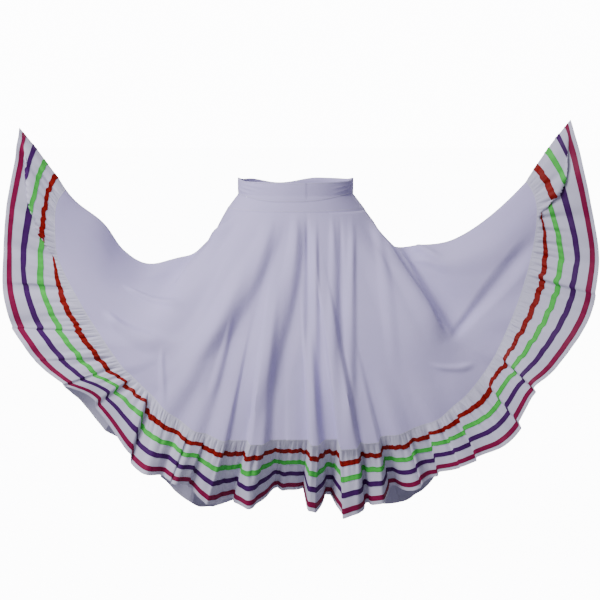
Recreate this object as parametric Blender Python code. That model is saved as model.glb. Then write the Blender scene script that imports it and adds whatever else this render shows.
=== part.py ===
"""Circle skirt with a gathered ruffle and four satin ribbons, worn, with its hem held up on both sides.

Metres, +Z up, +X to the right seen from the front, the front faces -Y.
The origin is the middle of the waist, halfway up the waistband.

The cloth is one surface that runs down from the waist to the hem and all the way round.
A turn is an angle round the pattern: 0 is the right side fold, 90 the middle of the back,
180 the left side fold and 270 the middle of the front. Each row of STATIONS says where the
cloth hangs at one turn. The folds are then raised on that surface, and every piece is a
stretch of it with a wall.
"""
import math

import bpy
import numpy as np

# Waist
WAIST_HALF_WIDTH = 0.157
WAIST_HALF_DEPTH = 0.105
BAND_TOP = 0.027
BAND_FOOT = -0.026
YOKE_FOOT = -0.052
FRONT_DIP = 0.035
BAND_COLUMNS = 48

# The under-band flares from this height down, by so much more half width and half depth
FLARE_TOP = -0.010
FLARE_WIDTH = 0.032
FLARE_DEPTH = 0.010

# Where the waistband's edges rise or dip: turn, half width in degrees, metres
RISE_COLUMNS = ("turn", "half_width", "rise")
FOOT_RISES = (
    (345, 75, 0.018),
    (195, 60, 0.014),
)
TOP_RISES = (
    (0, 30, 0.006),
    (106, 40, -0.014),
    (184, 30, 0.007),
)

# Cloth
CLOTH = 0.0012
BAND_CLOTH = 0.003
YOKE_CLOTH = 0.002
SEAM_GAP = 0.0003
RIBBON_CLOTH = 0.001
RUFFLE_DEPTH = 0.192
RIBBON_WIDTH = 0.015
RIBBON_PITCH = 0.043
SWING_REACH = 2.2
POPLIN_COLOUR = (214, 212, 230)
RUFFLE_COLOUR = (208, 206, 216)
POPLIN_ROUGHNESS = 0.8
SATIN_ROUGHNESS = 0.45
SHARP_ANGLE = 50

# Rows of points down the panel, as shares of its length
PANEL_ROWS = (0.0, 0.1, 0.25, 0.43, 0.62, 0.81, 1.0)

# Columns of points round the cloth: from turn, to turn, how many
BACK_COLUMNS = ((0, 12, 6), (12, 48, 12), (48, 132, 40), (132, 168, 12), (168, 180, 6))
FRONT_COLUMNS = ((180, 192, 6), (192, 220, 7), (220, 250, 13), (250, 294, 30), (294, 316, 8), (316, 360, 12))

# Ribbon colours, sRGB, in their order down the ruffle
RIBBON_COLOURS = (
    ("red", (176, 14, 8)),
    ("green", (96, 208, 92)),
    ("purple", (84, 36, 132)),
    ("magenta", (172, 14, 92)),
)

# Where the cloth hangs, in metres: middle of the panel's length, seam of the ruffle, hem
STATION_COLUMNS = ("turn", "mid_x", "mid_y", "mid_z", "seam_x", "seam_y", "seam_z",
                   "hem_x", "hem_y", "hem_z")
STATIONS = (
    (0, 0.370, -0.060, -0.150, 0.613, -0.130, 0.026, 0.728, -0.150, 0.190),
    (6, 0.388, 0.030, -0.190, 0.634, -0.090, -0.030, 0.752, -0.095, 0.080),
    (14, 0.408, 0.060, -0.235, 0.640, -0.060, -0.120, 0.785, -0.060, -0.080),
    (24, 0.395, 0.080, -0.285, 0.615, -0.015, -0.260, 0.770, -0.010, -0.300),
    (35, 0.365, 0.100, -0.325, 0.540, 0.040, -0.400, 0.680, 0.050, -0.480),
    (47, 0.300, 0.125, -0.355, 0.430, 0.090, -0.540, 0.545, 0.095, -0.670),
    (59, 0.220, 0.150, -0.375, 0.315, 0.125, -0.642, 0.402, 0.080, -0.815),
    (65.5, 0.173, 0.161, -0.378, 0.250, 0.136, -0.688, 0.330, 0.075, -0.880),
    (72, 0.125, 0.170, -0.380, 0.180, 0.145, -0.712, 0.245, 0.075, -0.898),
    (90, 0.000, 0.180, -0.370, 0.000, 0.185, -0.670, 0.000, 0.115, -0.840),
    (108, -0.125, 0.170, -0.380, -0.180, 0.145, -0.718, -0.235, 0.075, -0.905),
    (114.5, -0.173, 0.161, -0.378, -0.248, 0.136, -0.692, -0.300, 0.075, -0.895),
    (121, -0.220, 0.150, -0.375, -0.315, 0.125, -0.645, -0.364, 0.075, -0.832),
    (133, -0.300, 0.125, -0.360, -0.430, 0.090, -0.545, -0.520, 0.090, -0.712),
    (145, -0.365, 0.100, -0.335, -0.535, 0.040, -0.410, -0.650, 0.055, -0.560),
    (156, -0.390, 0.075, -0.295, -0.600, -0.015, -0.280, -0.745, -0.010, -0.390),
    (166, -0.392, 0.050, -0.250, -0.630, -0.060, -0.150, -0.758, -0.060, -0.110),
    (174, -0.386, 0.020, -0.218, -0.637, -0.095, -0.050, -0.748, -0.100, 0.050),
    (180, -0.380, -0.020, -0.190, -0.612, -0.130, 0.005, -0.732, -0.150, 0.168),
    (184, -0.383, -0.055, -0.215, -0.634, -0.155, -0.030, -0.734, -0.190, 0.107),
    (189, -0.386, -0.080, -0.244, -0.639, -0.160, -0.095, -0.759, -0.195, -0.021),
    (195, -0.375, -0.110, -0.276, -0.632, -0.160, -0.175, -0.769, -0.200, -0.124),
    (204, -0.354, -0.140, -0.312, -0.578, -0.170, -0.286, -0.769, -0.215, -0.286),
    (215, -0.318, -0.170, -0.338, -0.507, -0.190, -0.396, -0.710, -0.235, -0.414),
    (221, -0.292, -0.182, -0.346, -0.460, -0.201, -0.458, -0.621, -0.240, -0.498),
    (224.5, -0.275, -0.188, -0.349, -0.427, -0.207, -0.492, -0.535, -0.235, -0.547),
    (229, -0.250, -0.193, -0.352, -0.384, -0.215, -0.532, -0.442, -0.235, -0.703),
    (237, -0.201, -0.195, -0.353, -0.306, -0.228, -0.600, -0.353, -0.230, -0.750),
    (243.5, -0.163, -0.197, -0.353, -0.243, -0.234, -0.631, -0.293, -0.210, -0.774),
    (250, -0.124, -0.198, -0.352, -0.179, -0.238, -0.650, -0.228, -0.180, -0.822),
    (255.5, -0.089, -0.198, -0.352, -0.124, -0.238, -0.651, -0.167, -0.160, -0.825),
    (261, -0.052, -0.198, -0.352, -0.068, -0.238, -0.650, -0.095, -0.137, -0.803),
    (271, 0.017, -0.198, -0.352, 0.035, -0.238, -0.650, 0.028, -0.137, -0.803),
    (277, 0.057, -0.198, -0.352, 0.094, -0.238, -0.649, 0.096, -0.137, -0.821),
    (282, 0.091, -0.198, -0.352, 0.144, -0.238, -0.647, 0.156, -0.137, -0.800),
    (292, 0.165, -0.198, -0.349, 0.252, -0.235, -0.637, 0.288, -0.180, -0.785),
    (304, 0.250, -0.195, -0.342, 0.377, -0.225, -0.594, 0.439, -0.235, -0.719),
    (310.5, 0.293, -0.189, -0.336, 0.431, -0.218, -0.551, 0.532, -0.245, -0.674),
    (315, 0.325, -0.180, -0.328, 0.479, -0.210, -0.503, 0.584, -0.250, -0.622),
    (320, 0.352, -0.168, -0.317, 0.515, -0.200, -0.454, 0.624, -0.253, -0.531),
    (326, 0.375, -0.155, -0.303, 0.549, -0.190, -0.391, 0.675, -0.255, -0.472),
    (336, 0.395, -0.140, -0.270, 0.598, -0.170, -0.273, 0.769, -0.230, -0.337),
    (345, 0.403, -0.130, -0.226, 0.631, -0.160, -0.148, 0.801, -0.205, -0.187),
    (353, 0.390, -0.120, -0.190, 0.640, -0.160, -0.052, 0.777, -0.195, -0.026),
    (357, 0.378, -0.095, -0.168, 0.632, -0.150, -0.005, 0.752, -0.190, 0.084),
)

# Folds that grow from the panel into the ruffle: turn at the hem, how many degrees further
# round they begin, half width in degrees, share of the way down where they begin, how far
# they stand out at the ruffle's seam, and how many degrees the ruffle swings out below it
FOLD_COLUMNS = ("turn", "lean", "half_width", "start", "seam_out", "swing")
FOLDS = (
    (187, 0, 4, 0.75, -0.004, -14),
    (205, 2, 5, 0.70, 0.003, 4),
    (214, 3, 5, 0.60, 0.004, 7),
    (222, 3, 4, 0.60, 0.004, 9),
    (233, 3, 4, 0.50, 0.008, 10),
    (241, 2, 4, 0.50, 0.008, 14),
    (249, 2, 4, 0.40, 0.013, 14),
    (259.5, 1, 4.5, 0.25, 0.022, 30),
    (272, 0, 4, 0.30, 0.020, 34),
    (281.5, 1, 4.5, 0.15, 0.030, 36),
    (288, 1, 3.5, 0.50, 0.010, 20),
    (294, 0, 4, 0.60, 0.008, 18),
    (303, 0, 4.5, 0.70, 0.006, 12),
    (312, -2, 4, 0.70, 0.006, 12),
    (321, -3, 4.5, 0.60, 0.005, 10),
    (332, -3, 5, 0.70, 0.004, 5),
    (342, 0, 5, 0.70, 0.003, 7),
    (354, 0, 4, 0.75, -0.004, -14),
    (5, 0, 4, 0.75, -0.003, -15),
    (14, 0, 5, 0.70, 0.004, 12),
    (24, 0, 5, 0.70, 0.005, 14),
    (34, -2, 5, 0.60, 0.006, 16),
    (44, -2, 5, 0.50, 0.010, 22),
    (54, -1, 5, 0.35, 0.014, 32),
    (65, 0, 5, 0.30, 0.016, 26),
    (76, 0, 5, 0.20, 0.020, 46),
    (87, 0, 5.5, 0.25, 0.018, 44),
    (98, 0, 5, 0.20, 0.022, 48),
    (109, 1, 5, 0.35, 0.014, 26),
    (120, 1, 5, 0.30, 0.016, 26),
    (130, 2, 5, 0.40, 0.012, 26),
    (140, 2, 5, 0.50, 0.010, 18),
    (150, 2, 5, 0.60, 0.006, 14),
    (160, 0, 5, 0.70, 0.005, 14),
    (169, 0, 4, 0.70, 0.004, 12),
    (175, 0, 3, 0.75, -0.003, -14),
)

# Soft drag lines on the panel: turn at their top and foot, where they start and stop as
# shares of the way down, half width in degrees, how far they stand out
DRAG_COLUMNS = ("turn_top", "turn_low", "start", "stop", "half_width", "out")
DRAGS = (
    (205, 213, 0.05, 0.80, 16, 0.020),
    (240, 233, 0.10, 1.00, 9, 0.016),
    (262, 254, 0.10, 1.00, 7, 0.012),
    (283, 281, 0.10, 1.00, 7, 0.010),
    (318, 311, 0.05, 0.85, 14, 0.024),
    (60, 55, 0.10, 1.00, 12, 0.014),
    (118, 124, 0.10, 1.00, 12, 0.014),
)

# Where the panel sags from its smooth hang: turn, half width in degrees, share of the way down, how far
# to both sides of it, metres moved to the right and up
SAG_COLUMNS = ("turn", "half_width", "share", "reach", "move_x", "move_z")
SAGS = (
    (2, 18, 0.24, 0.20, -0.010, -0.016),
    (2, 18, 0.45, 0.20, 0.000, 0.006),
    (180, 18, 0.20, 0.18, 0.006, -0.014),
    (180, 18, 0.60, 0.22, 0.000, -0.018),
    (180, 18, 0.84, 0.14, 0.010, 0.012),
)


def column(table, names, name):
    """One named column of a table."""
    return np.array([row[names.index(name)] for row in table], float)


def place(name):
    """The x, y and z of one part of the stations."""
    return np.stack([column(STATIONS, STATION_COLUMNS, name + axis) for axis in ("_x", "_y", "_z")], -1)


def linear(srgb):
    """Linear value of one sRGB channel from 0 to 255."""
    share = srgb / 255
    if share <= 0.04045:
        return share / 12.92
    return ((share + 0.055) / 1.055) ** 2.4


def fabric(name, rgb, roughness):
    """A cloth material from its sRGB colour."""
    made = bpy.data.materials.new(name)
    made.use_nodes = True
    shader = made.node_tree.nodes["Principled BSDF"]
    shader.inputs["Base Color"].default_value = [linear(c) for c in rgb] + [1.0]
    shader.inputs["Roughness"].default_value = roughness
    shader.inputs["Metallic"].default_value = 0.0
    return made


def round_spline(turns, values, at):
    """Smooth closed curve through values, given at turns in rising order, read at each turn of at."""
    ahead = np.roll(turns, -1)
    ahead[-1] += 360
    behind = np.roll(turns, 1)
    behind[0] -= 360
    slope = (np.roll(values, -1, 0) - np.roll(values, 1, 0)) / (ahead - behind)[:, None]
    at = np.mod(at, 360)
    low = np.searchsorted(turns, at, side="right") - 1
    high = (low + 1) % len(turns)
    step = (ahead - turns)[low][:, None]
    t = (at - turns[low])[:, None] / step
    return ((2 * t ** 3 - 3 * t ** 2 + 1) * values[low]
            + (t ** 3 - 2 * t ** 2 + t) * step * slope[low]
            + (-2 * t ** 3 + 3 * t ** 2) * values[high]
            + (t ** 3 - t ** 2) * step * slope[high])


def ease(x):
    """0 below 0, 1 above 1, smooth between."""
    x = np.clip(x, 0, 1)
    return x * x * (3 - 2 * x)


def hump(x):
    """A smooth ridge, 1 at 0 and 0 from -1 and 1 outwards."""
    return np.where(np.abs(x) < 1, np.cos(x * math.pi / 2) ** 2, 0)


def waist_point(turn, height):
    """A point of the waist's oval at a height, which dips a little to the front."""
    flare = np.clip((FLARE_TOP - height) / (FLARE_TOP - YOKE_FOOT), 0, 1)
    x = (WAIST_HALF_WIDTH + FLARE_WIDTH * flare) * np.cos(np.radians(turn))
    y = (WAIST_HALF_DEPTH + FLARE_DEPTH * flare) * np.sin(np.radians(turn))
    return np.stack([x, y, height + FRONT_DIP * y], -1)


def waist_normal(turn):
    """The level outward direction of the waist's oval."""
    x = np.cos(np.radians(turn)) / WAIST_HALF_WIDTH
    y = np.sin(np.radians(turn)) / WAIST_HALF_DEPTH
    out = np.stack([x, y, np.zeros_like(x)], -1)
    return out / np.linalg.norm(out, axis=-1, keepdims=True)


def normals_of(points):
    """Outward directions of a closed grid of points, columns by rows."""
    around = np.roll(points, -1, 0) - np.roll(points, 1, 0)
    down = np.gradient(points, axis=1)
    out = np.cross(down, around)
    return out / np.linalg.norm(out, axis=-1, keepdims=True)


def ruffle_rows():
    """Rows down the ruffle as shares of its depth: the seam, both edges of each ribbon, the hem."""
    rows = [0.0]
    for number in range(len(RIBBON_COLOURS)):
        middle = (number + 1) * RIBBON_PITCH
        rows.append((middle - RIBBON_WIDTH / 2) / RUFFLE_DEPTH)
        rows.append((middle + RIBBON_WIDTH / 2) / RUFFLE_DEPTH)
    rows.append(1.0)
    return np.array(rows)


def column_turns(stretches):
    """Turns of the columns in a list of stretches, without the last one."""
    turns = []
    for start, stop, count in stretches:
        turns += list(np.linspace(start, stop, count, endpoint=False))
    return turns


def turn_gap(turns, centre):
    """Signed degrees from centre to each turn, the short way round."""
    return np.mod(turns - centre + 180, 360) - 180


def panel_folds(turns, rows):
    """How far the folds stand out at each point of the panel."""
    down = rows[None, :]
    out = np.zeros((len(turns), len(rows)))
    for row in FOLDS:
        fold = dict(zip(FOLD_COLUMNS, row))
        centre = fold["turn"] + fold["lean"] * (1 - down)
        ridge = hump(turn_gap(turns[:, None], centre) / fold["half_width"])
        out += ridge * fold["seam_out"] * ease((down - fold["start"]) / (1 - fold["start"]))
    for row in DRAGS:
        drag = dict(zip(DRAG_COLUMNS, row))
        centre = drag["turn_top"] + (drag["turn_low"] - drag["turn_top"]) * down
        ridge = hump(turn_gap(turns[:, None], centre) / drag["half_width"])
        along = (down - drag["start"]) / (drag["stop"] - drag["start"])
        out += ridge * drag["out"] * hump(2 * along - 1)
    return out


def sag_moves(turns, rows):
    """Metres that the panel sags to the right and up at each point of it."""
    moves = np.zeros((len(turns), len(rows), 3))
    for row in SAGS:
        sag = dict(zip(SAG_COLUMNS, row))
        strength = (hump(turn_gap(turns, sag["turn"]) / sag["half_width"])[:, None]
                    * hump((rows - sag["share"]) / sag["reach"])[None, :])
        moves[:, :, 0] += strength * sag["move_x"]
        moves[:, :, 2] += strength * sag["move_z"]
    return moves


def panel_grid(turns, middle, seam):
    """The panel from the waist to its seam, folds raised: columns by rows."""
    rows = np.array(PANEL_ROWS)
    waist = waist_point(turns, YOKE_FOOT - SEAM_GAP)
    pull = 2 * middle - (waist + seam) / 2
    v = rows[None, :, None]
    sheet = (1 - v) ** 2 * waist[:, None] + 2 * v * (1 - v) * pull[:, None] + v ** 2 * seam[:, None]
    sheet = sheet + sag_moves(turns, rows)
    return sheet + normals_of(sheet) * panel_folds(turns, rows)[:, :, None]


def frill_grid(turns, top, seam, fall):
    """The ruffle below its seam, without the seam's row. It swings out as the plain seam faces."""
    depth = np.linalg.norm(fall, axis=-1, keepdims=True)
    fall = fall / depth
    out = np.cross(fall, np.roll(seam, -1, 0) - np.roll(seam, 1, 0))
    out = out / np.linalg.norm(out, axis=-1, keepdims=True)
    swing = np.zeros(len(turns))
    for row in FOLDS:
        fold = dict(zip(FOLD_COLUMNS, row))
        swing += hump(turn_gap(turns, fold["turn"]) / fold["half_width"]) * math.radians(fold["swing"])
    rows = ruffle_rows()
    below = top
    grid = []
    for above_share, share in zip(rows[:-1], rows[1:]):
        middle = (above_share + share) / 2
        angle = (swing * ease(SWING_REACH * middle))[:, None]
        way = np.cos(angle) * fall + np.sin(angle) * out
        below = below + way * depth * (share - above_share)
        grid.append(below)
    return np.stack(grid, 1)


def skirt_surface():
    """The middle of the cloth's wall: turns, points and outward directions of the closed grid."""
    turns = np.array(column_turns(BACK_COLUMNS) + column_turns(FRONT_COLUMNS))
    given = column(STATIONS, STATION_COLUMNS, "turn")
    middle = round_spline(given, place("mid"), turns)
    seam = round_spline(given, place("seam"), turns)
    hem = round_spline(given, place("hem"), turns)
    panel = panel_grid(turns, middle, seam)
    frill = frill_grid(turns, panel[:, -1], seam, hem - seam)
    points = np.concatenate([panel, frill], 1)
    outward = normals_of(points)
    outward[:, 0] = waist_normal(turns)
    return turns, points, outward


def toward(points, other, distance):
    """Points moved a distance towards other points."""
    way = other - points
    return points + way * distance / np.linalg.norm(way, axis=-1, keepdims=True)


def open_seams(points, sides, top, foot):
    """A stretch of the grid, pulled back by half a seam gap on the edges that meet another piece."""
    half = SEAM_GAP / 2
    points = points.copy()
    if sides:
        first = toward(points[0], points[1], half)
        last = toward(points[-1], points[-2], half)
        points[0] = first
        points[-1] = last
    if top:
        points[:, 0] = toward(points[:, 0], points[:, 1], half)
    if foot:
        points[:, -1] = toward(points[:, -1], points[:, -2], half)
    return points


def walled(name, inner, outer, closed, material):
    """A wall between two grids of the same size, as one closed solid."""
    columns, rows = inner.shape[:2]
    steps = columns if closed else columns - 1
    vertices = np.concatenate([outer.reshape(-1, 3), inner.reshape(-1, 3)])
    back = columns * rows
    faces = []

    def quad(a, b, c, d):
        faces.append((a, b, c))
        faces.append((a, c, d))

    for i in range(steps):
        j = (i + 1) % columns
        for k in range(rows - 1):
            a = i * rows + k
            b = i * rows + k + 1
            c = j * rows + k + 1
            d = j * rows + k
            level = np.linalg.norm(outer[i, k] - outer[j, k + 1])
            cross = np.linalg.norm(outer[i, k + 1] - outer[j, k])
            if level <= cross:
                quad(a, b, c, d)
                quad(back + a, back + d, back + c, back + b)
            else:
                quad(b, c, d, a)
                quad(back + d, back + c, back + b, back + a)
        top_i = i * rows
        top_j = j * rows
        quad(top_i, top_j, back + top_j, back + top_i)
        foot_i = i * rows + rows - 1
        foot_j = j * rows + rows - 1
        quad(foot_i, back + foot_i, back + foot_j, foot_j)
    if not closed:
        for k in range(rows - 1):
            quad(k, back + k, back + k + 1, k + 1)
            end = (columns - 1) * rows + k
            quad(end, end + 1, back + end + 1, back + end)
    mesh = bpy.data.meshes.new(name)
    mesh.from_pydata([tuple(v) for v in vertices.tolist()], [], faces)
    mesh.materials.append(material)
    mesh.shade_smooth()
    mesh.set_sharp_from_angle(angle=math.radians(SHARP_ANGLE))
    made = bpy.data.objects.new(name, mesh)
    bpy.context.scene.collection.objects.link(made)
    return made


def edge_height(turns, height, table):
    """Height of an edge of the waistband that rises and dips from one height."""
    edge = np.full(len(turns), height)
    for row in table:
        side = dict(zip(RISE_COLUMNS, row))
        edge += side["rise"] * hump(turn_gap(turns, side["turn"]) / side["half_width"])
    return edge


def band(name, turns, top, foot, thickness, material):
    """A closed band round the waist between two heights, which may change with the turn."""
    wall = np.stack([waist_point(turns, top), waist_point(turns, foot)], 1)
    out = waist_normal(turns)[:, None, :] * thickness / 2
    walled(name, wall - out, wall + out, True, material)


def build():
    for old in list(bpy.data.objects):
        bpy.data.objects.remove(old, do_unlink=True)
    poplin = fabric("white_poplin", POPLIN_COLOUR, POPLIN_ROUGHNESS)
    ruffle_cloth = fabric("white_ruffle_poplin", RUFFLE_COLOUR, POPLIN_ROUGHNESS)
    satin = {}
    for colour, rgb in RIBBON_COLOURS:
        satin[colour] = fabric(colour + "_satin", rgb, SATIN_ROUGHNESS)
    waist_turns = np.arange(BAND_COLUMNS) * 360 / BAND_COLUMNS
    meeting = edge_height(waist_turns, BAND_FOOT, FOOT_RISES)
    crown = edge_height(waist_turns, BAND_TOP, TOP_RISES)
    band("waistband", waist_turns, crown, meeting, BAND_CLOTH, poplin)
    band("waist_yoke", waist_turns, meeting - SEAM_GAP, YOKE_FOOT, YOKE_CLOTH, poplin)

    turns, points, outward = skirt_surface()
    half = len(turns) // 2
    seam = len(PANEL_ROWS) - 1
    for side, start in (("back", 0), ("front", half)):
        columns = np.arange(start, start + half + 1) % len(turns)
        cloth = points[columns]
        out = outward[columns]
        wall = CLOTH / 2
        panel = open_seams(cloth[:, :seam + 1], True, False, True)
        walled("panel_" + side, panel - out[:, :seam + 1] * wall, panel + out[:, :seam + 1] * wall,
               False, poplin)
        frill = open_seams(cloth[:, seam:], True, True, False)
        walled("ruffle_" + side, frill - out[:, seam:] * wall, frill + out[:, seam:] * wall,
               False, ruffle_cloth)
        for number, (colour, rgb) in enumerate(RIBBON_COLOURS):
            row = 1 + 2 * number
            strip = frill[:, row:row + 2]
            lift = out[:, seam + row:seam + row + 2]
            under = wall + SEAM_GAP
            walled("ribbon_" + colour + "_" + side, strip + lift * under,
                   strip + lift * (under + RIBBON_CLOTH), False, satin[colour])


build()
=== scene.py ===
"""Looks of the circle skirt: fine cloth with its folds, gathers and creases, satin ribbons, sewing.

Metres, +Z up, +X to the right seen from the front, the front faces -Y.
The cloth is one surface, worked out as in the part's solids and then with its finer folds. A turn is an
angle round it: 0 is the right side fold, 90 the back, 180 the left side fold and 270 the front.
"""
import math

import bpy
import numpy as np
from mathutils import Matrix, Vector


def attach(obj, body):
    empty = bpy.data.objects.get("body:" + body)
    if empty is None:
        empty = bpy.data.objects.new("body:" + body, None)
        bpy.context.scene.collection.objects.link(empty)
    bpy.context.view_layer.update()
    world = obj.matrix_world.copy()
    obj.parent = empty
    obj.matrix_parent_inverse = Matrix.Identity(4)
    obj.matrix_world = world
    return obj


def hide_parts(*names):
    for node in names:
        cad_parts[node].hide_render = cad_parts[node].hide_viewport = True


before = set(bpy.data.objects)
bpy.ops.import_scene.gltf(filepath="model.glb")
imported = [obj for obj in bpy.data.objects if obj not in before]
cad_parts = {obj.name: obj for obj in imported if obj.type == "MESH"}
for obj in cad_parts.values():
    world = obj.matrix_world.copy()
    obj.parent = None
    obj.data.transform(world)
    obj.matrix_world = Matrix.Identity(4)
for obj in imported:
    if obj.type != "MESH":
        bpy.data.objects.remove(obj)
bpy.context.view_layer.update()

# Camera, at the photo's angle
CAMERA_AT = (0.0115, -4.5, 0.20)
CAMERA_AIM = (0.0115, 0.0, -0.305)
CAMERA_LENS = 98.16
CAMERA_FILM = 36
FLOOR_Z = -1.02
FLOOR_REACH = 60.0

# Soft studio light: a broad lamp from the upper left, a near one for the front panel, one from behind,
# the light of the room and the pale backdrop
LAMP_FROM = (-0.62, -0.60, 1.0)
LAMP_ANGLE = 35.0
LAMP_LIGHT = 1.9
PANEL_LAMP_AT = (-1.15, -1.35, 0.75)
PANEL_LAMP_SIZE = 0.9
PANEL_LAMP_LIGHT = 31.0
BACK_LAMP_FROM = (0.5, 1.0, 0.6)
BACK_LAMP_LIGHT = 1.4
ROOM_LIGHT = 0.22
BACKDROP_LIGHT = 14.0
FLOOR_GLOW = 13.0

# Waist
WAIST_HALF_WIDTH = 0.157
WAIST_HALF_DEPTH = 0.105
BAND_TOP = 0.027
BAND_FOOT = -0.026
YOKE_FOOT = -0.052
FRONT_DIP = 0.035
SEAM_GAP = 0.0003

# The under-band flares from this height down, by so much more half width and half depth
FLARE_TOP = -0.010
FLARE_WIDTH = 0.032
FLARE_DEPTH = 0.010

# Where the waistband's edges rise or dip: turn, half width in degrees, metres
RISE_COLUMNS = ("turn", "half_width", "rise")
FOOT_RISES = (
    (345, 75, 0.018),
    (195, 60, 0.014),
)
TOP_RISES = (
    (0, 30, 0.006),
    (106, 40, -0.014),
    (184, 30, 0.007),
)

# Ruffle and ribbons
RUFFLE_DEPTH = 0.192
RIBBON_WIDTH = 0.015
RIBBON_PITCH = 0.043

# The flat cut: a circle round the waist, in two halves, gathered strips and the two bands
CUT_WAIST_RADIUS = 0.139
CUT_LENGTH = 0.61
STRIP_LENGTH = 3.05

# Thickness of the cloth, the turn-up of the hem, the space between a ribbon and the ruffle, and how far a
# row of points may lie outside a ribbon's width and still be in it
POPLIN = 0.0006
HEM_FOLD = 0.0014
HEM_TURN_UP = 0.009
RIBBON = 0.0004
BAND = 0.0028
YOKE = 0.0014
RIBBON_LIFT = 0.0004
ROW_MARGIN = 0.0001

# Cloths: name, light and dark sRGB colour, and on poplin how many cloudy patches there are in a metre
PANEL_POPLIN = ("bleached_cotton_poplin", "#CDC3EF", "#BFB5E5", 7.0)
RUFFLE_POPLIN = ("bleached_cotton_poplin_gathered", "#D2CEE6", "#C8C4DC", 9.0)
SEWING_COTTON = ("white_sewing_thread", "#ECEAF4", "#DEDCE8", 9.0)
SATINS = {
    "red": ("scarlet_satin_ribbon", "#920602", "#700301"),
    "green": ("light_green_satin_ribbon", "#50C852", "#34A83C"),
    "purple": ("violet_satin_ribbon", "#481064", "#380A50"),
    "magenta": ("magenta_satin_ribbon", "#900248", "#6C0236"),
}
RIBBONS = tuple(SATINS)
SATIN_PATCHES = 60.0

# Gloss of the surfaces: roughness, sheen and specular level
POPLIN_GLOSS = (0.82, 0.15, 0.25)
SATIN_GLOSS = (0.55, 0.0, 0.22)
FLOOR_GLOSS = (0.9, 0.0, 0.2)
FLOOR_COLOUR = "#A8A8AC"
ROOM_COLOUR = "#ECEEFF"
BACKDROP_COLOUR = "#FAFAFC"

# Weave: wave bands repeat every 0.314 of a unit at scale 1. Threads are 0.3 mm apart in the poplin and
# ribs 0.4 mm apart in the ribbon, and both are drawn further apart, so that they show
BAND_WAVE = 0.314
THREADS_APART = 0.0011
RIBS_APART = 0.0015

# Fineness of the meshes: columns round the ruffle, of which the panel takes one in so many, rows down the
# pieces, turns at which the seam is measured, and columns to both sides over which its run is read
RUFFLE_COLUMNS_FRONT = 1260
RUFFLE_COLUMNS_BACK = 1020
PANEL_STEP = 3
PANEL_ROWS = 72
BAND_COLUMNS = 300
BAND_ROWS = 19
YOKE_ROWS = 9
SEAM_TURNS = 4000
RUN_COLUMNS = 12
SHARP_ANGLE = 60
RUFFLE_ROWS_MM = (0, 1.5, 4, 7, 11, 15, 20, 25, 30, 35.5, 43, 50.5, 57, 64, 71.5, 78.5, 86, 93.5, 100, 107.5,
                  115, 121.5, 129, 136.5, 143, 150.5, 158, 164.5, 172, 179.5, 183.5, 188, 192)

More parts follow.
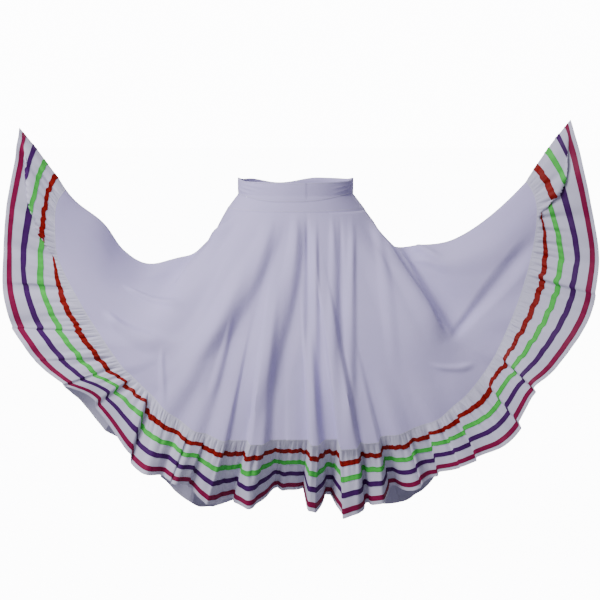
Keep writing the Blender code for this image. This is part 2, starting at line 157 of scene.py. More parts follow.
# Where the cloth hangs, in metres: middle of the panel's length, seam of the ruffle, hem
STATION_COLUMNS = ("turn", "mid_x", "mid_y", "mid_z", "seam_x", "seam_y", "seam_z",
                   "hem_x", "hem_y", "hem_z")
STATIONS = (
    (0, 0.370, -0.060, -0.150, 0.613, -0.130, 0.026, 0.728, -0.150, 0.190),
    (6, 0.388, 0.030, -0.190, 0.634, -0.090, -0.030, 0.752, -0.095, 0.080),
    (14, 0.408, 0.060, -0.235, 0.640, -0.060, -0.120, 0.785, -0.060, -0.080),
    (24, 0.395, 0.080, -0.285, 0.615, -0.015, -0.260, 0.770, -0.010, -0.300),
    (35, 0.365, 0.100, -0.325, 0.540, 0.040, -0.400, 0.680, 0.050, -0.480),
    (47, 0.300, 0.125, -0.355, 0.430, 0.090, -0.540, 0.545, 0.095, -0.670),
    (59, 0.220, 0.150, -0.375, 0.315, 0.125, -0.642, 0.402, 0.080, -0.815),
    (65.5, 0.173, 0.161, -0.378, 0.250, 0.136, -0.688, 0.330, 0.075, -0.880),
    (72, 0.125, 0.170, -0.380, 0.180, 0.145, -0.712, 0.245, 0.075, -0.898),
    (90, 0.000, 0.180, -0.370, 0.000, 0.185, -0.670, 0.000, 0.115, -0.840),
    (108, -0.125, 0.170, -0.380, -0.180, 0.145, -0.718, -0.235, 0.075, -0.905),
    (114.5, -0.173, 0.161, -0.378, -0.248, 0.136, -0.692, -0.300, 0.075, -0.895),
    (121, -0.220, 0.150, -0.375, -0.315, 0.125, -0.645, -0.364, 0.075, -0.832),
    (133, -0.300, 0.125, -0.360, -0.430, 0.090, -0.545, -0.520, 0.090, -0.712),
    (145, -0.365, 0.100, -0.335, -0.535, 0.040, -0.410, -0.650, 0.055, -0.560),
    (156, -0.390, 0.075, -0.295, -0.600, -0.015, -0.280, -0.745, -0.010, -0.390),
    (166, -0.392, 0.050, -0.250, -0.630, -0.060, -0.150, -0.758, -0.060, -0.110),
    (174, -0.386, 0.020, -0.218, -0.637, -0.095, -0.050, -0.748, -0.100, 0.050),
    (180, -0.380, -0.020, -0.190, -0.612, -0.130, 0.005, -0.732, -0.150, 0.168),
    (184, -0.383, -0.055, -0.215, -0.634, -0.155, -0.030, -0.734, -0.190, 0.107),
    (189, -0.386, -0.080, -0.244, -0.639, -0.160, -0.095, -0.759, -0.195, -0.021),
    (195, -0.375, -0.110, -0.276, -0.632, -0.160, -0.175, -0.769, -0.200, -0.124),
    (204, -0.354, -0.140, -0.312, -0.578, -0.170, -0.286, -0.769, -0.215, -0.286),
    (215, -0.318, -0.170, -0.338, -0.507, -0.190, -0.396, -0.710, -0.235, -0.414),
    (221, -0.292, -0.182, -0.346, -0.460, -0.201, -0.458, -0.621, -0.240, -0.498),
    (224.5, -0.275, -0.188, -0.349, -0.427, -0.207, -0.492, -0.535, -0.235, -0.547),
    (229, -0.250, -0.193, -0.352, -0.384, -0.215, -0.532, -0.442, -0.235, -0.703),
    (237, -0.201, -0.195, -0.353, -0.306, -0.228, -0.600, -0.353, -0.230, -0.750),
    (243.5, -0.163, -0.197, -0.353, -0.243, -0.234, -0.631, -0.293, -0.210, -0.774),
    (250, -0.124, -0.198, -0.352, -0.179, -0.238, -0.650, -0.228, -0.180, -0.822),
    (255.5, -0.089, -0.198, -0.352, -0.124, -0.238, -0.651, -0.167, -0.160, -0.825),
    (261, -0.052, -0.198, -0.352, -0.068, -0.238, -0.650, -0.095, -0.137, -0.803),
    (271, 0.017, -0.198, -0.352, 0.035, -0.238, -0.650, 0.028, -0.137, -0.803),
    (277, 0.057, -0.198, -0.352, 0.094, -0.238, -0.649, 0.096, -0.137, -0.821),
    (282, 0.091, -0.198, -0.352, 0.144, -0.238, -0.647, 0.156, -0.137, -0.800),
    (292, 0.165, -0.198, -0.349, 0.252, -0.235, -0.637, 0.288, -0.180, -0.785),
    (304, 0.250, -0.195, -0.342, 0.377, -0.225, -0.594, 0.439, -0.235, -0.719),
    (310.5, 0.293, -0.189, -0.336, 0.431, -0.218, -0.551, 0.532, -0.245, -0.674),
    (315, 0.325, -0.180, -0.328, 0.479, -0.210, -0.503, 0.584, -0.250, -0.622),
    (320, 0.352, -0.168, -0.317, 0.515, -0.200, -0.454, 0.624, -0.253, -0.531),
    (326, 0.375, -0.155, -0.303, 0.549, -0.190, -0.391, 0.675, -0.255, -0.472),
    (336, 0.395, -0.140, -0.270, 0.598, -0.170, -0.273, 0.769, -0.230, -0.337),
    (345, 0.403, -0.130, -0.226, 0.631, -0.160, -0.148, 0.801, -0.205, -0.187),
    (353, 0.390, -0.120, -0.190, 0.640, -0.160, -0.052, 0.777, -0.195, -0.026),
    (357, 0.378, -0.095, -0.168, 0.632, -0.150, -0.005, 0.752, -0.190, 0.084),
)

# Folds that grow from the panel into the ruffle. turn: where the crest meets the hem. slant: degrees
# further round at the seam. lean: degrees further round that it begins. flat: half width of its crest.
# before, after: width of its two flanks in degrees. start: share of the
# way down where it begins. seam_out, drop: metres that it stands out and hangs lower at the ruffle's
# seam. swing: degrees that the ruffle swings out below it. reach: how soon it does so. sweep: metres
# that the crest shifts round at the hem
FOLD_COLUMNS = ("turn", "slant", "lean", "flat", "before", "after", "start", "seam_out", "drop", "swing",
                "reach", "sweep")
FOLDS = (
    (205, 0, 2, 0, 5, 5, 0.70, 0.003, 0.000, 4, 1.8, 0.0),
    (214, 1, 3, 0, 5, 5, 0.60, 0.004, 0.000, 7, 1.8, 0.0),
    (222, -1, 3, 0, 5, 3, 0.60, 0.004, 0.002, 9, 1.8, 0.0),
    (233, 0, 3, 0, 4, 4, 0.50, 0.008, 0.004, 10, 1.8, 0.0),
    (241, 0, 2, 0, 4, 4, 0.50, 0.008, 0.006, 14, 1.8, 0.0),
    (251.8, -2.6, 2, 0, 6, 1.0, 0.40, 0.013, 0.005, 14, 2.2, 0.0),
    (260.5, -3.1, 1, 1.4, 1.0, 3.0, 0.25, 0.022, 0.010, 25, 2.4, 0.0),
    (266.5, 0, 0, 0.6, 1.2, 3.0, 0.60, 0.003, 0.000, 6, 3.0, 0.0),
    (272.0, 0.4, 0, 0.8, 0.8, 2.4, 0.30, 0.022, 0.013, 34, 3.0, 0.0),
    (279.6, 1.9, 1, 1.9, 1.0, 1.4, 0.15, 0.032, 0.024, 33, 3.4, 0.0),
    (285.8, 1.5, 1, 1.5, 2.6, 0.6, 0.50, 0.014, 0.014, 30, 2.4, 0.0),
    (294, 0, 0, 0, 3.5, 4, 0.60, 0.008, 0.004, 18, 1.8, 0.0),
    (303, 0, 0, 0, 3.5, 5, 0.70, 0.006, 0.003, 12, 1.8, 0.0),
    (312, 0, -2, 0, 3.5, 4.5, 0.70, 0.006, 0.002, 12, 1.8, 0.0),
    (321, 1, -3, 0, 3, 6, 0.60, 0.005, 0.000, 10, 1.8, 0.0),
    (332, 0, -3, 0, 5, 5, 0.70, 0.004, 0.000, 5, 1.8, 0.0),
    (342, 0, 0, 0, 5, 5, 0.70, 0.003, 0.000, 7, 1.8, 0.0),
    (5, 0, 0, 0, 4, 4, 0.75, -0.003, 0.000, -10, 1.8, 0.0),
    (14, 0, 0, 0, 5, 5, 0.70, 0.004, 0.000, 12, 1.8, 0.0),
    (24, 0, 0, 0, 5, 5, 0.70, 0.005, 0.000, 14, 1.8, 0.0),
    (34, 0, -2, 0, 5, 5, 0.60, 0.006, 0.000, 16, 1.8, 0.0),
    (44, 0, -2, 0, 5, 5, 0.50, 0.010, 0.002, 22, 1.8, 0.0),
    (54, 0, -1, 0, 5, 3, 0.35, 0.014, 0.006, 32, 1.8, 0.006),
    (65, 0, 0, 0, 5, 3, 0.30, 0.016, 0.010, 26, 1.8, 0.006),
    (76, 0, 0, 0, 3, 5.5, 0.20, 0.020, 0.012, 46, 1.8, -0.006),
    (87, 0, 0, 0, 5.5, 3, 0.25, 0.018, 0.010, 44, 1.8, 0.006),
    (98, 0, 0, 0, 5, 3, 0.20, 0.022, 0.014, 48, 1.8, 0.006),
    (109, 0, 1, 0, 3, 5, 0.35, 0.014, 0.010, 26, 1.8, -0.006),
    (120, 0, 1, 0, 5, 3, 0.30, 0.016, 0.008, 26, 1.8, 0.006),
    (130, 0, 2, 0, 5, 5, 0.40, 0.012, 0.004, 26, 1.8, 0.0),
    (140, 0, 2, 0, 5, 5, 0.50, 0.010, 0.002, 18, 1.8, 0.0),
    (150, 0, 2, 0, 5, 5, 0.60, 0.006, 0.000, 14, 1.8, 0.0),
    (160, 0, 0, 0, 5, 5, 0.70, 0.005, 0.000, 14, 1.8, 0.0),
    (169, 0, 0, 0, 4, 4, 0.70, 0.004, 0.000, 12, 1.8, 0.0),
    (175, 0, 0, 0, 3, 3, 0.75, -0.003, 0.000, -10, 1.8, 0.0),
)
# Roundness of a fold's crest on the ruffle
PLEAT_CREST = 0.3

# Pleats where the ruffle steps over itself. turn_seam, turn_hem: where the step is. edge: degrees within
# which the cloth turns. before, after: degrees over which the move fades. along_before, along_after:
# metres that the cloth is moved towards the hem beside the step. out_before, out_after: metres forward.
# at_hem: share of the move that is left at the hem
PLEAT_COLUMNS = ("turn_seam", "turn_hem", "edge", "before", "after", "along_before", "along_after",
                 "out_before", "out_after", "at_hem")
PLEATS = (
    (196.5, 180.5, 1.2, 9, 12, 0.013, -0.036, 0.007, -0.007, 0.0),
    (201, 201, 0.5, 5, 6, 0.002, -0.002, 0.003, -0.002, 0.1),
    (212, 209.5, 0.5, 7, 6, -0.003, 0.004, 0.004, -0.003, 0.4),
    (218.3, 217, 0.4, 6, 2.5, -0.003, 0.002, 0.003, -0.002, 0.3),
    (220.8, 221.5, 0.4, 2.5, 3.5, -0.004, 0.003, 0.004, -0.003, 0.8),
    (224.3, 224.8, 0.4, 3.5, 4.5, -0.007, 0.010, 0.006, -0.004, 0.6),
    (228.5, 229.2, 0.4, 4.0, 6, -0.022, 0.008, 0.012, -0.006, 0.7),
    (239.7, 239.5, 0.3, 5, 4.5, -0.003, 0.003, 0.003, -0.003, 0.9),
    (244.2, 244.0, 0.3, 4.5, 5, -0.006, 0.005, 0.006, -0.004, 0.9),
    (263.7, 263.7, 0.3, 3, 3, -0.006, 0.005, 0.004, -0.003, 0.9),
    (295.8, 295.6, 0.3, 5, 4, 0.006, -0.005, -0.002, 0.004, 0.9),
    (300.8, 299.5, 0.3, 4, 5, 0.009, -0.008, -0.004, 0.006, 0.8),
    (304.5, 303.5, 0.3, 3, 4, 0.003, -0.003, -0.002, 0.003, 0.4),
    (309.0, 306.8, 0.3, 5, 5, 0.006, -0.006, -0.003, 0.004, 0.8),
    (316.8, 315.8, 0.4, 7, 5, 0.009, -0.008, -0.005, 0.007, 0.9),
    (323.0, 320.9, 0.4, 6, 9, 0.004, -0.006, -0.006, 0.007, 1.0),
    (339.8, 340.5, 0.5, 6, 5, 0.003, -0.003, -0.002, 0.003, 0.4),
    (352.3, 359.6, 1.2, 12, 7, -0.034, 0.028, -0.007, 0.007, 0.0),
)

# Soft drag lines on the panel: turn at their top and foot, where they start and stop as
# shares of the way down, half width in degrees, how far they stand out
DRAG_COLUMNS = ("turn_top", "turn_low", "start", "stop", "half_width", "out")
DRAGS = (
    (205, 213, 0.05, 0.80, 16, 0.020),
    (240, 233, 0.10, 1.00, 9, 0.016),
    (262, 254, 0.10, 1.00, 7, 0.012),
    (283, 281, 0.10, 1.00, 7, 0.010),
    (318, 311, 0.05, 0.85, 14, 0.024),
    (60, 55, 0.10, 1.00, 12, 0.014),
    (118, 124, 0.10, 1.00, 12, 0.014),
)

# Where the panel sags from its smooth hang: turn, half width in degrees, share of the way down, how far
# to both sides of it, metres moved to the right and up
SAG_COLUMNS = ("turn", "half_width", "share", "reach", "move_x", "move_z")
SAGS = (
    (2, 18, 0.24, 0.20, -0.010, -0.016),
    (2, 18, 0.45, 0.20, 0.000, 0.006),
    (180, 18, 0.20, 0.18, 0.006, -0.014),
    (180, 18, 0.60, 0.22, 0.000, -0.018),
    (180, 18, 0.84, 0.14, 0.010, 0.012),
)

# Creases of the panel, seen from the front: x and z of their top, middle and foot, the width of their
# flanks to the left and right of them, and how far they stand out, or in where it is less than nothing
CREASE_COLUMNS = ("top_x", "top_z", "mid_x", "mid_z", "foot_x", "foot_z", "left", "right", "out")
FRONT_CREASES = (
    (-0.060, -0.050, -0.149, -0.277, -0.342, -0.480, 0.070, 0.046, 0.010),
    (-0.020, -0.050, -0.105, -0.290, -0.255, -0.480, 0.040, 0.060, -0.005),
    (-0.165, -0.320, -0.196, -0.443, -0.230, -0.560, 0.020, 0.016, 0.005),
    (-0.002, -0.050, -0.026, -0.287, -0.150, -0.660, 0.044, 0.034, 0.009),
    (0.022, -0.050, 0.008, -0.280, -0.105, -0.660, 0.026, 0.036, -0.004),
    (0.054, -0.060, 0.051, -0.365, 0.049, -0.700, 0.028, 0.020, 0.008),
    (0.030, -0.050, 0.034, -0.250, 0.030, -0.480, 0.016, 0.020, -0.005),
    (0.098, -0.050, 0.100, -0.260, 0.092, -0.560, 0.022, 0.022, 0.005),
    (0.154, -0.050, 0.147, -0.339, 0.141, -0.700, 0.028, 0.020, 0.008),
    (0.120, -0.050, 0.122, -0.240, 0.118, -0.450, 0.016, 0.016, -0.004),
    (0.205, -0.060, 0.235, -0.240, 0.268, -0.500, 0.024, 0.024, 0.005),
    (0.190, -0.070, 0.312, -0.255, 0.400, -0.400, 0.050, 0.016, 0.018),
    (0.250, -0.090, 0.365, -0.255, 0.450, -0.400, 0.030, 0.100, -0.016),
    (-0.160, -0.070, -0.245, -0.160, -0.350, -0.300, 0.020, 0.040, 0.018),
    (-0.205, -0.120, -0.290, -0.190, -0.400, -0.290, 0.040, 0.030, -0.010),
    (-0.355, -0.405, -0.352, -0.480, -0.346, -0.560, 0.014, 0.010, 0.006),
    (-0.470, -0.250, -0.381, -0.295, -0.290, -0.310, 0.012, 0.016, 0.010),
    (-0.510, -0.310, -0.430, -0.375, -0.300, -0.400, 0.040, 0.024, 0.012),
    (0.401, -0.400, 0.521, -0.262, 0.652, -0.101, 0.040, 0.034, -0.012),
    (0.350, -0.452, 0.420, -0.462, 0.480, -0.450, 0.016, 0.010, 0.006),
    (0.255, -0.105, 0.330, -0.150, 0.400, -0.182, 0.014, 0.016, 0.010),
)
BACK_CREASES = (
    (-0.085, -0.050, -0.160, -0.300, -0.300, -0.560, 0.030, 0.020, 0.008),
    (-0.030, -0.050, -0.060, -0.300, -0.110, -0.640, 0.020, 0.024, 0.008),
    (0.010, -0.050, 0.012, -0.300, 0.020, -0.640, 0.014, 0.022, 0.006),
    (0.060, -0.050, 0.090, -0.300, 0.150, -0.640, 0.024, 0.018, 0.008),
    (0.110, -0.050, 0.190, -0.280, 0.330, -0.520, 0.018, 0.030, 0.008),
    (0.035, -0.050, 0.050, -0.260, 0.070, -0.480, 0.014, 0.014, -0.005),
    (-0.058, -0.050, -0.100, -0.260, -0.180, -0.500, 0.014, 0.014, -0.005),
    (0.200, -0.100, 0.330, -0.240, 0.500, -0.300, 0.020, 0.030, 0.008),
    (-0.200, -0.100, -0.330, -0.230, -0.510, -0.290, 0.030, 0.020, 0.008),
    (0.420, -0.200, 0.500, -0.250, 0.560, -0.380, 0.012, 0.014, 0.004),
    (-0.410, -0.210, -0.480, -0.270, -0.540, -0.360, 0.014, 0.010, 0.004),
)
CREASE_POINTS = 20

# Creases rise and fade within these shares of their length, and widen from a share of their width
CREASE_START = 0.25
CREASE_END = 0.30
CREASE_NARROW = 0.45
CREASE_SPREAD = 0.70

# Gathers of the ruffle: their length round the seam, how far they stand out, the depth below the
# seam where they are strongest, and the depth by which they have faded
GATHER_COLUMNS = ("pitch", "out", "strongest", "gone")
GATHERS = (
    (0.0091, 0.0007, 0.008, 0.044),
    (0.0143, 0.0011, 0.016, 0.090),
    (0.0330, 0.0024, 0.040, 0.150),
    (0.0760, 0.0030, 0.110, 0.500),
)
# Small steps of the gathered ribbons: their length round the seam, how far the cloth is drawn up or down,
# the depth below the seam where it is strongest, and the depth by which it has faded
DRAWN_COLUMNS = ("pitch", "along", "strongest", "gone")
DRAWN = (
    (0.0190, 0.0014, 0.030, 0.100),
    (0.0470, 0.0024, 0.045, 0.170),
)
# Gathers wander along the seam: by how much, and over how many of their lengths
WANDER = 1.3
WANDER_LENGTHS = 1.9

# Puckers of the panel above its seam: how far out, and where they begin and have faded, metres up
PANEL_PUCKER = 0.0007
PANEL_PUCKER_START = 0.004
PANEL_PUCKER_REACH = 0.035

# Wrinkles of the waistband: turn and height of both ends, half width in metres, how far out
WRINKLE_COLUMNS = ("turn_a", "height_a", "turn_b", "height_b", "half_width", "out")
WRINKLES = (
    (192, 0.016, 236, 0.000, 0.004, 0.0016),
    (186, 0.006, 226, -0.008, 0.004, 0.0014),
    (200, 0.020, 250, 0.010, 0.005, 0.0010),
    (196, -0.006, 240, -0.018, 0.004, 0.0012),
    (352, 0.014, 305, -0.006, 0.004, 0.0016),
    (356, 0.004, 315, -0.014, 0.004, 0.0014),
    (345, 0.020, 300, 0.006, 0.005, 0.0012),
    (10, 0.012, 60, -0.004, 0.005, 0.0014),
    (40, 0.018, 100, 0.006, 0.005, 0.0010),
    (170, 0.012, 120, -0.006, 0.005, 0.0014),
    (140, -0.010, 90, -0.016, 0.004, 0.0010),
)
# The waistband's lapped end: where it is, how far it stands out, and the share of the height over which it
# rises. Its edges are rounded by a power, down to a share of its thickness
BAND_END_X = 0.029
BAND_END_STEP = 0.0012
BAND_END_RISE = 0.3
BAND_ROUNDING = 8
BAND_EDGE = 0.35

# Sewing: spacing, length and width of the stitches, how far on their run is read, how far they lie out from
# the cloth, rows of the ruffle, waistband and under-band that are sewn, and how far in from a ribbon's edge,
# as a share of the way to its next row
STITCH_PITCH = 0.005
STITCH_LENGTH = 0.0032
STITCH_WIDTH = 0.0007
STITCH_AHEAD = 0.001
THREAD_LIFT = 0.0006
SEAM_STITCH_ROW = 1
BAND_STITCH_ROWS = (1, -2)
YOKE_STITCH_ROW = -2
EDGE_STITCH_INSET = 0.17


def linear(hex_colour):
    """Linear colour from an sRGB hex value."""
    made = []
    for at in (1, 3, 5):
        share = int(hex_colour[at:at + 2], 16) / 255
        made.append(share / 12.92 if share <= 0.04045 else ((share + 0.055) / 1.055) ** 2.4)
    return made + [1.0]


def ease(x):
    """0 below 0, 1 above 1, smooth between."""
    x = np.clip(x, 0, 1)
    return x * x * (3 - 2 * x)


def hump(x):
    """A smooth ridge, 1 at 0 and 0 from -1 and 1 outwards."""
    return np.where(np.abs(x) < 1, np.cos(x * math.pi / 2) ** 2, 0)


def pleat(x):
    """A ridge with flat flanks and a rounded crest, 1 at 0 and 0 from -1 and 1 outwards."""
    high = math.hypot(1, PLEAT_CREST)
    return np.clip((high - np.hypot(x, PLEAT_CREST)) / (high - PLEAT_CREST), 0, 1)


def uneven_hump(gap, before, after, shape=hump):
    """A ridge with flanks of two widths."""
    return shape(np.where(gap < 0, gap / before, gap / after))


def beside(gap, flat):
    """Signed degrees from the edge of a flat crest."""
    return np.sign(gap) * np.maximum(np.abs(gap) - flat, 0)


def column(table, names, name):
    """One named column of a table."""
    return np.array([row[names.index(name)] for row in table], float)


def named(table, names):
    """The rows of a table, each with the names of its columns."""
    return [dict(zip(names, row)) for row in table]


def place(name):
    """The x, y and z of one part of the stations."""
    return np.stack([column(STATIONS, STATION_COLUMNS, name + axis) for axis in ("_x", "_y", "_z")], -1)


def round_spline(turns, values, at):
    """Smooth closed curve through values, given at turns in rising order, read at each turn of at."""
    ahead = np.roll(turns, -1)
    ahead[-1] += 360
    behind = np.roll(turns, 1)
    behind[0] -= 360
    slope = (np.roll(values, -1, 0) - np.roll(values, 1, 0)) / (ahead - behind)[:, None]
    at = np.mod(at, 360)
    low = np.searchsorted(turns, at, side="right") - 1
    high = (low + 1) % len(turns)
    step = (ahead - turns)[low][:, None]
    t = (at - turns[low])[:, None] / step
    return ((2 * t ** 3 - 3 * t ** 2 + 1) * values[low]
            + (t ** 3 - 2 * t ** 2 + t) * step * slope[low]
            + (-2 * t ** 3 + 3 * t ** 2) * values[high]
            + (t ** 3 - t ** 2) * step * slope[high])


def station_curve(name, turns):
    """Where one part of the stations lies at each turn."""
    return round_spline(column(STATIONS, STATION_COLUMNS, "turn"), place(name), turns)


def unit(vectors):
    """Vectors brought to length 1."""
    return vectors / np.maximum(np.linalg.norm(vectors, axis=-1, keepdims=True), 1e-12)


def waist_point(turn, height):
    """A point of the waist's oval at a height, which dips a little to the front."""
    flare = np.clip((FLARE_TOP - height) / (FLARE_TOP - YOKE_FOOT), 0, 1)
    x = (WAIST_HALF_WIDTH + FLARE_WIDTH * flare) * np.cos(np.radians(turn))
    y = (WAIST_HALF_DEPTH + FLARE_DEPTH * flare) * np.sin(np.radians(turn))
    return np.stack([x, y, height + FRONT_DIP * y], -1)


def waist_normal(turn):
    """The level outward direction of the waist's oval."""
    x = np.cos(np.radians(turn)) / WAIST_HALF_WIDTH
    y = np.sin(np.radians(turn)) / WAIST_HALF_DEPTH
    return unit(np.stack([x, y, np.zeros_like(x)], -1))


def normals_of(points):
    """Outward directions of a closed grid of points, columns by rows."""
    around = np.roll(points, -1, 0) - np.roll(points, 1, 0)
    return unit(np.cross(np.gradient(points, axis=1), around))


def turn_gap(turns, centre):
    """Signed degrees from centre to each turn, the short way round."""
    return np.mod(turns - centre + 180, 360) - 180


def even_turns(start, stop, count):
    """Turns of columns that are evenly spaced along the seam, without the last one."""
    dense = np.linspace(start, stop, SEAM_TURNS)
    steps = np.linalg.norm(np.diff(station_curve("seam", dense), axis=0), axis=1)
    length = np.concatenate([[0], np.cumsum(steps)])
    return np.interp(np.linspace(0, length[-1], count, endpoint=False), length, dense)


def panel_folds(turns, rows):
    """How far the large folds stand out and hang lower at each point of the panel."""
    down = rows[None, :]
    out = np.zeros((len(turns), len(rows)))
    drop = np.zeros((len(turns), len(rows)))
    for fold in named(FOLDS, FOLD_COLUMNS):
        gap = turn_gap(turns[:, None], fold["turn"] + fold["slant"] + fold["lean"] * (1 - down))
        ridge = uneven_hump(beside(gap, fold["flat"]), fold["before"], fold["after"])
        grown = ridge * ease((down - fold["start"]) / (1 - fold["start"]))
        out += grown * fold["seam_out"]
        drop += grown * fold["drop"]
    for drag in named(DRAGS, DRAG_COLUMNS):
        centre = drag["turn_top"] + (drag["turn_low"] - drag["turn_top"]) * down
        ridge = hump(turn_gap(turns[:, None], centre) / drag["half_width"])
        along = (down - drag["start"]) / (drag["stop"] - drag["start"])
        out += ridge * drag["out"] * hump(2 * along - 1)
    return out, drop


def crease_height(points, table):
    """How far the creases of a table stand out at each point, from the points' x and z."""
    flat = points.reshape(-1, 3)[:, [0, 2]]
    out = np.zeros(len(flat))
    t = np.linspace(0, 1, CREASE_POINTS)[:, None]
    for crease in named(table, CREASE_COLUMNS):
        top = np.array([crease["top_x"], crease["top_z"]])
        foot = np.array([crease["foot_x"], crease["foot_z"]])
        pull = 2 * np.array([crease["mid_x"], crease["mid_z"]]) - (top + foot) / 2
        curve = (1 - t) ** 2 * top + 2 * t * (1 - t) * pull + t ** 2 * foot
        width = max(crease["left"], crease["right"])
        near = np.all((flat > curve.min(0) - width) & (flat < curve.max(0) + width), axis=1)
        spot = flat[near]
        base = curve[:-1]
        run = np.diff(curve, axis=0)
        reach = spot[:, None] - base[None]
        share = np.clip((reach * run).sum(-1) / (run * run).sum(-1), 0, 1)
        away = reach - share[..., None] * run
        distance = np.linalg.norm(away, axis=-1)
        nearest = distance.argmin(1)
        pick = np.arange(len(spot))
        side = run[nearest, 0] * away[pick, nearest, 1] - run[nearest, 1] * away[pick, nearest, 0]
        gap = distance[pick, nearest] * np.where(side > 0, 1, -1)
        along = (nearest + share[pick, nearest]) / (CREASE_POINTS - 1)
        fade = ease(along / CREASE_START) * ease((1 - along) / CREASE_END)
        spread = CREASE_NARROW + (1 - CREASE_NARROW) * ease(along / CREASE_SPREAD)
        out[near] += crease["out"] * fade * uneven_hump(gap / spread, crease["left"], crease["right"])
    return out.reshape(points.shape[:-1])


def sag_moves(turns, rows):
    """Metres that the panel sags to the right and up at each point of it."""
    moves = np.zeros((len(turns), len(rows), 3))
    for sag in named(SAGS, SAG_COLUMNS):
        strength = (hump(turn_gap(turns, sag["turn"]) / sag["half_width"])[:, None]
                    * hump((rows - sag["share"]) / sag["reach"])[None, :])
        moves[:, :, 0] += strength * sag["move_x"]
        moves[:, :, 2] += strength * sag["move_z"]
    return moves


def panel_grid(turns, rows):
    """The panel from the waist to its seam with folds and creases: columns by rows."""
    waist = waist_point(turns, YOKE_FOOT - SEAM_GAP)
    seam = station_curve("seam", turns)
    pull = 2 * station_curve("mid", turns) - (waist + seam) / 2
    v = rows[None, :, None]
    sheet = (1 - v) ** 2 * waist[:, None] + 2 * v * (1 - v) * pull[:, None] + v ** 2 * seam[:, None]
    sheet = sheet + sag_moves(turns, rows)
    height, drop = panel_folds(turns, rows)
    front = turns >= 180
    height[front] += crease_height(sheet[front], FRONT_CREASES)
    height[~front] += crease_height(sheet[~front], BACK_CREASES)
    folded = sheet + normals_of(sheet) * height[:, :, None]
    folded[:, :, 2] -= drop
    return folded


def frill_tilt(turns, shares):
    """Degrees that the ruffle is swung out, and metres that it is swept round, at each point of it."""
    tilt = np.zeros((len(turns), len(shares)))
    sweep = np.zeros((len(turns), len(shares)))
    for fold in named(FOLDS, FOLD_COLUMNS):
        gap = turn_gap(turns[:, None], fold["turn"] + fold["slant"] * (1 - shares))
        ridge = uneven_hump(beside(gap, fold["flat"]), fold["before"], fold["after"], pleat)
        tilt += ridge * fold["swing"] * ease(fold["reach"] * shares)
        sweep += ridge * fold["sweep"] * ease(2 * shares)
    return tilt, sweep


def pleat_moves(turns, shares):
    """Metres that the pleats move the ruffle towards the hem, and forward, at each point of it."""
    along = np.zeros((len(turns), len(shares)))
    out = np.zeros((len(turns), len(shares)))
    for step in named(PLEATS, PLEAT_COLUMNS):
        line = step["turn_seam"] + (step["turn_hem"] - step["turn_seam"]) * shares
        gap = turn_gap(turns[:, None], line)
        past = ease(gap / step["edge"] + 0.5)
        before = (1 - past) * np.clip(1 + gap / step["before"], 0, 1)
        after = past * np.clip(1 - gap / step["after"], 0, 1)
        strength = ease(3 * shares) * (1 - (1 - step["at_hem"]) * ease(2 * shares - 1))
        along += strength * (before * step["along_before"] + after * step["along_after"])
        out += strength * (before * step["out_before"] + after * step["out_after"])
    return along, out


def frill_grid(turns, top, seam, fall, rows):
    """The ruffle from its seam down, columns by rows. It swings out the way that the plain seam faces."""
    depth = np.linalg.norm(fall, axis=-1, keepdims=True)
    fall = fall / depth
    around = unit(np.roll(seam, -RUN_COLUMNS, 0) - np.roll(seam, RUN_COLUMNS, 0))
    out = unit(np.cross(fall, around))
    middle = (rows[:-1] + rows[1:]) / 2
    tilt, sweep = frill_tilt(turns, middle)
    grid = [top]
    for step, share in enumerate(np.diff(rows)):
        angle = np.radians(tilt[:, step:step + 1])
        way = np.cos(angle) * fall + np.sin(angle) * out
        grid.append(grid[-1] + (way * depth + around * sweep[:, step:step + 1]) * share)
    along, forward = pleat_moves(turns, rows)
    return np.stack(grid, 1) + fall[:, None] * along[:, :, None] + out[:, None] * forward[:, :, None]


def rise_and_fade(row, depth):
    """How strong a row of gathers is at each depth: from 0 at the seam to 1, then to 0 again."""
    fade = 1 - ease((depth - row["strongest"]) / (row["gone"] - row["strongest"]))
    return (ease(depth / row["strongest"]) * fade)[None, :]


def gather_height(length, depth):
    """How far the gathers stand out, by metres along the seam and metres below it."""
    out = np.zeros((len(length), len(depth)))
    for number, gather in enumerate(named(GATHERS, GATHER_COLUMNS)):
        wander = (np.sin(length / (gather["pitch"] * WANDER_LENGTHS) + number)
                  + 0.7 * np.sin(length / (gather["pitch"] * 3.3) + 2 * number))
        phase = 2 * math.pi * length / gather["pitch"] + WANDER * wander
        strength = 0.75 + 0.35 * np.sin(length / (gather["pitch"] * 2.7) + 3 * number)
        wave = (np.sin(phase + 0.7 * np.sin(phase + 1.0)) + 0.2 * np.sin(2 * phase + 0.8)) * strength
        out += wave[:, None] * rise_and_fade(gather, depth) * gather["out"]
    return out


def drawn_length(length, depth):
    """How far the cloth is drawn towards the hem, by metres along the seam and metres below it."""
    along = np.zeros((len(length), len(depth)))
    for number, draw in enumerate(named(DRAWN, DRAWN_COLUMNS)):
        phase = 2 * math.pi * length / draw["pitch"] + 1.9 * np.sin(length / (draw["pitch"] * 1.7) + number)
        strength = 0.7 + 0.4 * np.sin(length / (draw["pitch"] * 2.3) + 5 * number)
        wave = np.sin(phase + 0.8 * np.sin(phase)) * strength
        along += wave[:, None] * rise_and_fade(draw, depth) * draw["along"]
    return along


